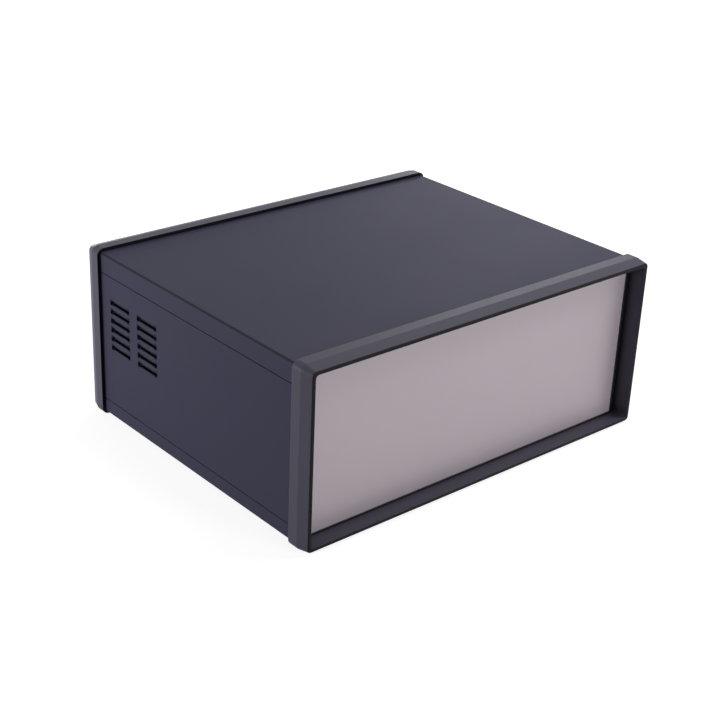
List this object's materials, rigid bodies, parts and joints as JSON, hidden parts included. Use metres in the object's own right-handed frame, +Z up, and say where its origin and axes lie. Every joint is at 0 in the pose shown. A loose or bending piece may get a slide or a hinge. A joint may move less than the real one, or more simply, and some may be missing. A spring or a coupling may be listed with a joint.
{
  "type": "instrument enclosure",
  "caption": "Desktop instrument enclosure: folded steel covers with side vents between moulded bezels, with a recessed plain aluminium front panel.",
  "frame": {"origin": "middle of the footprint, on the surface that the bezels stand on", "axes": "+X to the right of a person who faces the front panel from -Y, +Y to the rear, +Z up"},
  "size_m": [0.43, 0.35, 0.18],
  "materials": {
    "front_bezel": "fine moulded texture, satin",
    "front_panel": "fine bead-blasted, clear anodised",
    "clamps": "plain moulded",
    "screws": "zinc plated",
    "dark_screws": "blackened",
    "rails": "zinc-coated sheet",
    "covers": "fine powder coat",
    "sides": "fine powder coat",
    "rear_bezel": "fine moulded texture, satin",
    "rear_panel": "fine powder coat",
    "nuts": "zinc plated"
  },
  "bodies": {
    "root": {"front_bezel": "front_bezel", "front_panel": "front_panel", "left_clamp": "clamps", "right_clamp": "clamps", "front_screws": "screws", "top_left_rail": "rails", "top_right_rail": "rails", "bottom_left_rail": "rails", "bottom_right_rail": "rails", "bottom_cover": "covers", "left_side": "sides", "right_side": "sides", "top_cover": "covers", "bottom_screws": "screws", "rail_nuts": "nuts", "rear_bezel": "rear_bezel", "rear_bezel_screws": "dark_screws", "rear_panel": "rear_panel", "rear_panel_screws": "dark_screws", "earth_stud": "nuts", "earth_washer": "nuts", "earth_nut": "nuts"}
  },
  "joints": []
}
